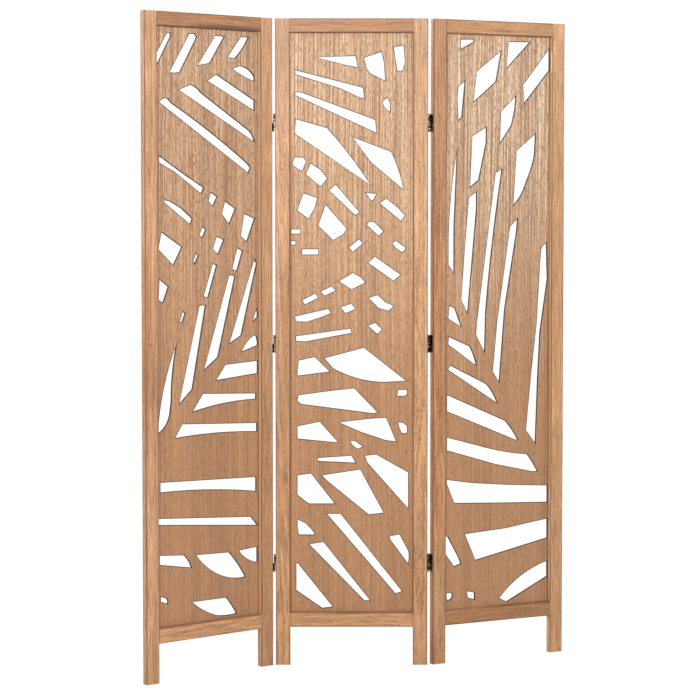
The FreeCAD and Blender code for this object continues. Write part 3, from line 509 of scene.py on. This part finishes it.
def sheet_outlines(node, leaf):
    """The borders of the sheet's front face, and the places of its front and back.

    The front triangles are welded by place. An edge that one of them has and no neighbour has
    the other way round is a border, so it tells for each border point which point follows it.
    """
    mesh = nodes[node].data
    mesh.calc_loop_triangles()
    triangles = np.empty(len(mesh.loop_triangles) * 3, dtype=np.int32)
    mesh.loop_triangles.foreach_get("vertices", triangles)
    triangles = triangles.reshape(-1, 3)
    local = to_leaf(node_points(node), leaf)
    front, back = local[:, 1].min(), local[:, 1].max()
    triangles = triangles[(local[triangles, 1] < front + FLATNESS).all(axis=1)]
    flat = np.round(local[:, (0, 2)] / WELD).astype(np.int64)
    places, welded = np.unique(flat, axis=0, return_inverse=True)
    corners = welded.reshape(-1)[triangles]
    starts = corners.reshape(-1)
    ends = np.roll(corners, -1, axis=1).reshape(-1)
    count = len(places)
    border = ~np.isin(starts * count + ends, ends * count + starts)
    follows = np.full(count, -1)
    follows[starts[border]] = ends[border]
    used = np.flatnonzero(follows >= 0)
    renumber = np.full(count, -1)
    renumber[used] = np.arange(len(used))
    return places[used] * WELD, renumber[follows[used]], front, back


outlines = {leaf: sheet_outlines(f"{leaf}_pierced_sheet", leaf) for leaf in leaf_turns}
print("border points:", {leaf: len(found[0]) for leaf, found in outlines.items()})

# %% Loops and mitres
# At a sharp tip a mitre grows without end, so it is held to this many times the inset
LONGEST_MITRE = 2.5
# Where an edge turns right back the mitre's divisor would be nought, so it is at least this
LEAST_DIVISOR = 0.05


def loop_labels(follows):
    """The lowest point number in each point's loop, found by jumping twice as far each time."""
    label = np.arange(len(follows))
    jump = follows.copy()
    for _ in range(int(math.ceil(math.log2(len(follows)))) + 1):
        label = np.minimum(label, label[jump])
        jump = jump[jump]
    return label


def mitres(points, follows):
    """At each border point, the step that moves both its edges one unit into the wood.

    With the two edges' left-hand normals a and b, it is (a + b) / (1 + a.b).
    """
    before = np.empty_like(follows)
    before[follows] = np.arange(len(follows))
    outgoing = points[follows] - points
    outgoing /= np.linalg.norm(outgoing, axis=1, keepdims=True)
    left = np.column_stack((-outgoing[:, 1], outgoing[:, 0]))
    other = left[before]
    divisor = np.maximum(1 + (left * other).sum(axis=1), LEAST_DIVISOR)
    step = (left + other) / divisor[:, None]
    reach = np.linalg.norm(step, axis=1, keepdims=True)
    return step * np.minimum(1.0, LONGEST_MITRE / reach)


square = np.array([(0.0, 0.0), (1.0, 0.0), (1.0, 1.0), (0.0, 1.0)])
print("mitres of a square:", mitres(square, np.array([1, 2, 3, 0])).tolist())

# %% Filling a face
# Points nearer than this many metres are one point when a face is filled
FILL_WELD = 1e-7


def inside_count(spots, starts, ends):
    """How many borders a line from each spot to the right crosses."""
    x, z = spots[:, 0, None], spots[:, 1, None]
    over = (starts[:, 1] > z) != (ends[:, 1] > z)
    rise = np.where(ends[:, 1] == starts[:, 1], 1.0, ends[:, 1] - starts[:, 1])
    crossing = starts[:, 0] + (z - starts[:, 1]) * (ends[:, 0] - starts[:, 0]) / rise
    return (over & (crossing > x)).sum(axis=1)


def face_triangles(points, starts, ends):
    """Triangles between a face's border edges, without those that would close a cut-out.

    A triangle is wood if a line from its middle crosses the borders an odd number of times.
    """
    edges = np.column_stack((starts, ends)).tolist()
    filled = delaunay_2d_cdt([Vector(point) for point in points], edges, [], 0, FILL_WELD)
    origin = np.array([group[0] for group in filled[3]])
    triangles = origin[np.array(filled[2])]
    crossed = inside_count(points[triangles].mean(axis=1), points[starts], points[ends])
    return triangles[crossed % 2 == 1]


print("triangles in a square:", len(face_triangles(square, np.arange(4), np.array([1, 2, 3, 0]))))

# %% [markdown]
# ### The cross-section carried round each cut-out
#
# Seen in section, the wood by a cut-out is: the face, where the fringe starts; the softened
# front edge; the wall; the softened back edge; and the back face, where its fringe ends. Each
# point of that section is an inset from the outline, a depth, and how dark the laser left it.
# The flat rest of both faces is filled by triangles between the fringes and the sheet's rim.

# %% Cross-section of a cut
SHEET_THICK = 4.0
# Each row: inset from the outline in mm, depth in mm, scorch from 0 to 1
CUT_SECTION = np.array([
    (2.6, 0.0, 0.0),
    (1.5, 0.0, 0.62),
    (0.7, 0.0, 1.0),
    (0.15, 0.0, 1.0),
    (0.0, 0.15, 1.0),
    (0.0, SHEET_THICK - 0.15, 1.0),
    (0.15, SHEET_THICK, 1.0),
    (0.7, SHEET_THICK, 1.0),
    (1.5, SHEET_THICK, 0.62),
    (2.6, SHEET_THICK, 0.0),
])
print("points in the section of a cut:", len(CUT_SECTION))

# %% Surface of a sheet


def sheet_surface(leaf):
    """A sheet's points in its leaf's distances, their scorch values, and its faces.

    Ring k of a cut-out is its outline + step x inset k, at the front + depth k. Quads join each
    ring to the next, and the front rim of the sheet to its back rim.
    """
    points, follows, front, back = outlines[leaf]
    labels = loop_labels(follows)
    rim = labels == labels[np.argmin(points[:, 0])]
    holes, edge = np.flatnonzero(~rim), np.flatnonzero(rim)
    number = np.empty(len(points), dtype=int)
    number[holes], number[edge] = np.arange(len(holes)), np.arange(len(edge))
    next_hole, next_edge = number[follows[holes]], number[follows[edge]]

    insets, depths, scorches = CUT_SECTION.T
    step = mitres(points, follows)[holes]
    flat = points[holes] + step * insets[:, None, None] * MM
    deep = np.broadcast_to((front + depths * MM)[:, None], flat.shape[:2])
    rings = np.stack((flat[..., 0], deep, flat[..., 1]), axis=-1)
    outer = points[edge]
    rims = [np.column_stack((outer[:, 0], np.full(len(outer), y), outer[:, 1]))
            for y in (front, back)]
    local = np.vstack((rings.reshape(-1, 3), *rims))
    scorch = np.concatenate((np.repeat(scorches, len(holes)), np.zeros(2 * len(outer))))

    here, along = np.arange(len(holes)), np.arange(len(outer))
    near = np.arange(len(CUT_SECTION) - 1)[:, None] * len(holes)
    far = near + len(holes)
    wall = np.stack((far + here, far + next_hole, near + next_hole, near + here), axis=-1)
    front_rim = len(CUT_SECTION) * len(holes)
    back_rim = front_rim + len(outer)
    rim_wall = np.column_stack((front_rim + along, back_rim + along, back_rim + next_edge,
                                front_rim + next_edge))

    triangles = face_triangles(np.vstack((rings[0][:, (0, 2)], outer)),
                               np.concatenate((here, len(holes) + along)),
                               np.concatenate((next_hole, len(holes) + next_edge)))
    to_front = np.concatenate((here, front_rim + along))
    to_back = np.concatenate((front_rim - len(holes) + here, back_rim + along))
    faces = (wall.reshape(-1, 4).tolist() + rim_wall.tolist() + to_front[triangles].tolist()
             + to_back[triangles[:, ::-1]].tolist())
    print(leaf, "cut-outs:", len(np.unique(labels)) - 1, "outline points:", len(holes))
    return local, scorch, faces


# %% Build the sheets


def pierced_sheet(name, node, leaf, body):
    """A sheet as an object that rides its leaf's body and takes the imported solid's place."""
    local, scorch, faces = sheet_surface(leaf)
    mesh = bpy.data.meshes.new(name)
    mesh.from_pydata(from_leaf(local, leaf).tolist(), [], faces)
    mesh.attributes.new("scorch", "FLOAT", "POINT").data.foreach_set("value", scorch)
    mesh.update()
    mesh.validate()
    sheet = bpy.data.objects.new(name, mesh)
    bpy.context.scene.collection.objects.link(sheet)
    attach(sheet, body)
    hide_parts(node)
    print(name, "faces:", len(mesh.polygons))
    return sheet


sheets = {}
for leaf in leaf_turns:
    sheets[leaf] = pierced_sheet(f"{leaf}_cut_sheet", f"{leaf}_pierced_sheet", leaf,
                                 f"{leaf}_leaf")

# %% [markdown]
# ### Veneer with a scorched fringe
#
# Quarter-sliced veneer shows its rings as nearly straight upright lines, here about eleven
# millimetres apart, thin, and broken into dark dashes where pores run along them. Fine pale and
# dark stripes lie between. The grain stands out more towards the top of the sheet, and the
# colour there is painted paler, a painted sheen from the light above. Real veneer pores are too
# fine to show, so they are drawn about three times as wide.
#
# The scorch value stored on the mesh browns the fringe. A ragged noise keeps its edge from
# looking ruled, and painted shade darkens the seam where the sheet enters the frame, as the
# thin shadow line that the frame casts there.

# %% Veneer grain
VENEER_RING = 11 * MM


def veneer_figure(tree, place, seed, tones):
    """The veneer's colour, and the stripes and pore dashes that its gloss and relief follow.

    A slow drift of a few millimetres bends every line a little. Ring lines grow darker through
    each ring and end sharply. The grain grows bolder from the bottom to the top, and the colour
    grows paler towards the top as a painted sheen.
    """
    drift = add(tree, "TexNoise", add(tree, "Mapping", place, Scale=sized(90, 90, 800),
                                      Location=(seed, seed, seed)), Scale=1.0, Detail=1.0)
    drift = add(tree, "MapRange", drift, 0.25, 0.75, -8 * MM, 8 * MM)
    wood = add(tree, "VectorMath", place, add(tree, "CombineXYZ", drift, 0.0, seed),
               operation="ADD")

    bands = add(tree, "TexNoise", add(tree, "Mapping", wood, Scale=sized(34, 34, 1500)),
                Scale=1.0, Detail=2.0)
    stripes = add(tree, "TexNoise", add(tree, "Mapping", wood, Scale=sized(2.4, 2.4, 360)),
                  Scale=1.0, Detail=1.0)
    flecks = add(tree, "TexNoise", add(tree, "Mapping", wood, Scale=sized(2.6, 2.6, 8)),
                 Scale=1.0, Detail=0.0)
    dashes = add(tree, "TexNoise", add(tree, "Mapping", wood, Scale=sized(2.4, 2.4, 12)),
                 Scale=1.0, Detail=1.0)
    dashes = add(tree, "MapRange", dashes, 0.52, 0.6, interpolation_type="SMOOTHSTEP")
    rings = add(tree, "TexWave", add(tree, "Mapping", wood, Scale=(1.0, 1.0, 0.02)),
                wave_type="BANDS", bands_direction="X", wave_profile="SAW",
                Scale=WAVE_SPACING / VENEER_RING, Distortion=1.6, Detail=1.0, Detail_Scale=3.0,
                out="Fac")
    ring_line = add(tree, "Math", add(tree, "MapRange", rings, 0.6, 0.86),
                    add(tree, "MapRange", rings, 1.0, 0.94), operation="MULTIPLY")
    ring_line = add(tree, "Math", ring_line, add(tree, "MapRange", dashes, 0.0, 1.0, 0.6, 1.0),
                    operation="MULTIPLY")
    ring_line = add(tree, "Math", ring_line, add(tree, "MapRange", bands, 0.35, 0.6, 0.5, 1.0),
                    operation="MULTIPLY")

    height = add(tree, "SeparateXYZ", place, out="Z")
    boldness = add(tree, "MapRange", height, 0.25, 1.5, 0.55, 1.0)
    # Painted sheen: the colour pales towards the top, where the light above gives the sheet a gloss
    painted_sheen = add(tree, "MapRange", height, 0.6, 1.5, interpolation_type="SMOOTHSTEP")
    low_pale, sheen_top_tone, dark, thread = tones
    pale = add(tree, "Mix", painted_sheen, low_pale, sheen_top_tone, data_type="RGBA")
    streak = add(tree, "Math", stripes, add(tree, "MapRange", flecks, 0.2, 0.8, -0.06, 0.06),
                 operation="ADD")
    streak = add(tree, "Mix", boldness, 0.42, add(tree, "MapRange", streak, 0.3, 0.7))
    colour = add(tree, "Mix", streak, pale, dark, data_type="RGBA")
    colour = add(tree, "VectorMath", colour, operation="SCALE",
                 Scale=add(tree, "MapRange", bands, 0.32, 0.68, 1.1, 0.9))
    line_dark = add(tree, "Math", ring_line, 0.85, operation="MULTIPLY")
    dash_dark = add(tree, "Math", dashes, 0.52, operation="MULTIPLY")
    grain_dark = add(tree, "Math", add(tree, "Math", line_dark, dash_dark, operation="MAXIMUM"),
                     boldness, operation="MULTIPLY")
    colour = add(tree, "Mix", grain_dark, colour, thread, data_type="RGBA")
    return colour, stripes, dashes


print("veneer rings are", round(VENEER_RING / MM), "mm apart")

# %% Seam and scorch
BROWNED, CHARRED = linear("#63402A"), linear("#2B1C12")


def seam_painted_shade(tree, place, leaf):
    """How much painted shade darkens the seam, the frame's shadow line on the sheet: a point is
    |place - middle| - half the opening past it.
    """
    left, right, low, high = opening[leaf]
    from_middle = add(tree, "VectorMath", place, ((left + right) / 2, 0.0, (low + high) / 2),
                      operation="SUBTRACT")
    past = add(tree, "VectorMath", add(tree, "VectorMath", from_middle, operation="ABSOLUTE"),
               ((right - left) / 2, 1.0, (high - low) / 2), operation="SUBTRACT")
    past = add(tree, "Math", add(tree, "SeparateXYZ", past, out="X"),
               add(tree, "SeparateXYZ", past, out="Z"), operation="MAXIMUM")
    return add(tree, "MapRange", past, DARK_LINE_BEGINS, SEAM_FULL, 0.0, 0.7)


def scorched(tree, place, colour):
    """The colour browned and then charred by the mesh's scorch values, and how charred it is."""
    burn = add(tree, "Attribute", attribute_name="scorch", out="Fac")
    ragged = add(tree, "TexNoise", add(tree, "Mapping", place, Scale=sized(1.4, 1.4, 1.4)),
                 Scale=1.0, Detail=2.0)
    uneven = add(tree, "Math", burn, add(tree, "MapRange", ragged, 0.2, 0.8, 0.8, 1.2),
                 operation="MULTIPLY")
    browned = add(tree, "MapRange", uneven, 0.06, 0.6, 0.0, 0.8, interpolation_type="SMOOTHSTEP")
    charred = add(tree, "MapRange", uneven, 0.45, 0.95, 0.0, 0.9, interpolation_type="SMOOTHSTEP")
    colour = add(tree, "Mix", browned, colour, BROWNED, data_type="RGBA")
    colour = add(tree, "Mix", charred, colour, CHARRED, data_type="RGBA")
    return colour, charred


print("charred wood in linear light:", np.round(CHARRED[:3], 3))

# %% Sheet material


def cut_veneer(name, leaf, seed, tones):
    """Stained veneer cut by a laser: half matt on its face, and dull where it is charred."""
    material, tree = new_material(name)
    place = add(tree, "Mapping", add(tree, "TexCoord", out="Object"),
                Rotation=(0.0, 0.0, -leaf_turns[leaf]), Location=tuple(-leaf_origins[leaf]))
    tones = [linear(tone) for tone in tones]
    colour, stripes, dashes = veneer_figure(tree, place, seed, tones)
    # Painted shade: the seam is darkened as the shadow line where the sheet meets the frame
    colour = add(tree, "Mix", seam_painted_shade(tree, place, leaf), colour, tones[-1], data_type="RGBA")
    colour, charred = scorched(tree, place, colour)

    roughness = add(tree, "MapRange", add(tree, "Math", stripes, charred, operation="ADD"),
                    0.3, 1.5, 0.46, 0.75)
    relief = add(tree, "Math", stripes, dashes, operation="SUBTRACT")
    bump = add(tree, "Bump", Height=relief, Strength=0.35, Distance=0.12 * MM)
    shader = add(tree, "BsdfPrincipled", Base_Color=colour, Roughness=roughness, Normal=bump,
                 IOR=1.5, Specular_IOR_Level=0.5)
    add(tree, "OutputMaterial", Surface=shader)
    return material


# Each sheet: a seed, and its tones: pale below, pale above with a painted sheen, dark and thread
veneers = {
    "left": (21.0, ("#BC8E69", "#D6B593", "#9F714C", "#734C30")),
    "middle": (33.0, ("#C1926A", "#DDBC97", "#A5764F", "#7A5031")),
    "right": (47.0, ("#C1926C", "#F0D4B4", "#A57751", "#774F32")),
}
for leaf, (seed, tones) in veneers.items():
    sheets[leaf].data.materials.append(cut_veneer(f"laser_cut_veneer_{leaf}", leaf, seed, tones))
print("sheets finished:", len(sheets))

# %% [markdown]
# ## Dowels, hinges and screws
#
# The dowels are plain turned beech and stay hidden in the joints. The hinges are pressed steel
# with a dark bronze plating: nearly black and glossy, with bright patches that are partly worn
# plating and partly painted glints, highlights put into the colour. Noise at the size of the
# plating's mottling places the patches, and a finer one stands for handling marks.

# %% Dowel material


def beech_dowel(name):
    """Turned beech: a close, pale, half matt wood with short darker flecks."""
    material, tree = new_material(name)
    place = add(tree, "TexCoord", out="Object")
    grain = add(tree, "TexNoise", add(tree, "Mapping", place, Scale=sized(0.8, 0.8, 0.8)),
                Scale=1.0, Detail=3.0)
    flecks = add(tree, "TexNoise", add(tree, "Mapping", place, Scale=sized(1.6, 1.6, 1.6)),
                 Scale=1.0, Detail=1.0)
    colour = add(tree, "Mix", grain, linear("#D9B78E"), linear("#BE9467"), data_type="RGBA")
    colour = add(tree, "Mix", add(tree, "MapRange", flecks, 0.6, 0.7, 0.0, 0.4), colour,
                 linear("#9C7247"), data_type="RGBA")
    roughness = add(tree, "MapRange", grain, 0.3, 0.7, 0.5, 0.65)
    shader = add(tree, "BsdfPrincipled", Base_Color=colour, Roughness=roughness, IOR=1.5)
    add(tree, "OutputMaterial", Surface=shader)
    return material


dowel_finish = beech_dowel("turned_beech")
print("dowels:", dowel_finish.name)

# %% Hinge and screw material


def bronzed_steel(name, dark_tone, glint_and_wear_tone, seed):
    """Steel with a dark bronze plating: mottled, glossy, and brighter in patches of worn plating
    and painted glints.
    """
    material, tree = new_material(name)
    place = add(tree, "TexCoord", out="Object")
    mottle = add(tree, "TexNoise", add(tree, "Mapping", place, Scale=sized(5, 5, 5),
                                       Location=(seed, seed, seed)), Scale=1.0, Detail=3.0)
    marks = add(tree, "TexNoise", add(tree, "Mapping", place, Scale=sized(0.6, 0.6, 3)),
                Scale=1.0, Detail=2.0)
    # Bright patches: worn plating and painted glints, highlights put into the colour
    glints_and_wear = add(tree, "Math", add(tree, "MapRange", mottle, 0.5, 0.6, 0.0, 1.0),
                 add(tree, "MapRange", marks, 0.3, 0.6, 0.5, 1.0), operation="MULTIPLY")
    colour = add(tree, "Mix", glints_and_wear, linear(dark_tone), linear(glint_and_wear_tone), data_type="RGBA")
    roughness = add(tree, "MapRange", add(tree, "Math", mottle, marks, operation="ADD"),
                    0.6, 1.4, 0.2, 0.42)
    bump = add(tree, "Bump", Height=marks, Strength=0.15, Distance=0.05 * MM)
    shader = add(tree, "BsdfPrincipled", Base_Color=colour, Metallic=1.0, Roughness=roughness,
                 Normal=bump)
    add(tree, "OutputMaterial", Surface=shader)
    return material


hinge_finish = bronzed_steel("bronze_plated_steel", "#1F1813", "#BFAD97", 1.0)
screw_finish = bronzed_steel("bronze_plated_screw_steel", "#46362A", "#8A6542", 9.0)
print("hardware:", hinge_finish.name, screw_finish.name)

# %% Finish the dowels, hinges and screws
for name, piece in nodes.items():
    if name.endswith("dowels"):
        piece.material_slots[0].material = dowel_finish
    elif name.endswith("screws"):
        piece.material_slots[0].material = screw_finish
    elif "_hinge_" in name:
        piece.material_slots[0].material = hinge_finish
print("hinge pieces and groups of screws:", sum("_hinge_" in name for name in nodes))

# %% [markdown]
# ## Floor and light
#
# The photograph is a catalogue picture on pure white. A wide softbox stands nearly in front and
# just above the screen, so the upper half is brighter and has a faint gloss, and the recessed
# sheets get only thin shadow lines. One on the right gives the two turned leaves their gloss,
# and one at the left rear lights the outer edge and the back. The white room fills the rest. The
# camera sees the floor and the room as plain white, and the floor darkens only within three
# centimetres of the feet.

# %% Floor
FLOOR_REACH, CONTACT_REACH = 60.0, 30 * MM
floor_mesh = bpy.data.meshes.new("studio_floor")
floor_corners = [(x * FLOOR_REACH, y * FLOOR_REACH, 0.0)
                 for x, y in ((-1, -1), (1, -1), (1, 1), (-1, 1))]
floor_mesh.from_pydata(floor_corners, [], [(0, 1, 2, 3)])
floor = bpy.data.objects.new("studio_floor", floor_mesh)
bpy.context.scene.collection.objects.link(floor)

floor_finish, tree = new_material("white_painted_floor")
mottle = add(tree, "TexNoise", add(tree, "Mapping", add(tree, "TexCoord", out="Object"),
                                   Scale=sized(400, 400, 400)), Scale=1.0, Detail=2.0)
paint = add(tree, "Mix", mottle, linear("#F3F2F0"), linear("#EEEDEB"), data_type="RGBA")
painted = add(tree, "BsdfDiffuse", Color=paint, Roughness=0.6)
contact = add(tree, "AmbientOcclusion", Distance=CONTACT_REACH, samples=8, out="AO")
glow = add(tree, "MapRange", contact, 0.2, 0.9, 0.80, 1.05)
white = add(tree, "Emission", Strength=glow)
seen = add(tree, "LightPath", out="Is Camera Ray")
add(tree, "OutputMaterial", Surface=add(tree, "MixShader", seen, painted, white))
floor_mesh.materials.append(floor_finish)
print("floor reaches", FLOOR_REACH, "m to each side")

# %% Light
world = bpy.data.worlds.new("studio_room")
world.use_nodes = True
bpy.context.scene.world = world
room = world.node_tree
room.nodes.clear()
lit = add(room, "Background", Color=(1.0, 0.995, 0.985, 1.0), Strength=0.46)
seen = add(room, "Background", Color=(1.0, 1.0, 1.0, 1.0), Strength=1.05)
add(room, "OutputWorld",
    Surface=add(room, "MixShader", add(room, "LightPath", out="Is Camera Ray"), lit, seen))


def softbox(name, place, target, width, height, watts):
    """A softbox that stands at a place and faces a point. The camera doesn't see it."""
    data = bpy.data.lights.new(name, "AREA")
    data.shape = "RECTANGLE"
    data.size, data.size_y = width, height
    data.energy = watts
    lamp = bpy.data.objects.new(name, data)
    lamp.location = place
    lamp.rotation_euler = (Vector(target) - Vector(place)).to_track_quat("-Z", "Y").to_euler()
    lamp.visible_camera = False
    bpy.context.scene.collection.objects.link(lamp)
    return lamp


key = softbox("key_softbox", (-0.4, -2.6, 1.95), (0.0, 0.0, 1.5), 1.7, 0.8, 53.0)
side = softbox("side_softbox", (3.8, -1.7, 2.35), (0.1, 0.0, 1.5), 1.2, 1.3, 36.0)
back = softbox("back_softbox", (-2.4, 1.5, 2.6), (0.0, 0.0, 1.4), 1.8, 1.4, 90.0)
bpy.context.scene.view_settings.view_transform = "Standard"
print("lamps:", key.name, side.name, back.name)
